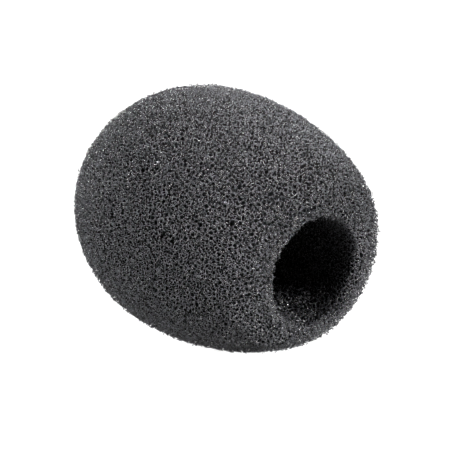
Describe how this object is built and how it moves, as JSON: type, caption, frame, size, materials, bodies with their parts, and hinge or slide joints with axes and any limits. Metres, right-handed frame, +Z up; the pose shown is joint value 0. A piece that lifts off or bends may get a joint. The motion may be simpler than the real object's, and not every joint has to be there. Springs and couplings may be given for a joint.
{
  "type": "foam microphone windscreen",
  "caption": "Egg-shaped windscreen of open-cell foam with a blind bore that pushes over a slim microphone's head.",
  "frame": {"origin": "on the surface the windscreen lies on, under the middle of its length and width", "axes": "+X along the bore, out of its mouth; +Z up, away from the surface; +Y completes a right-handed frame"},
  "size_m": [0.059, 0.048, 0.0475],
  "materials": {
    "foam": "charcoal open-cell polyurethane foam, matte, with a soft sheen on the cell struts"
  },
  "bodies": {
    "root": {"foam_body": "foam"}
  },
  "joints": []
}
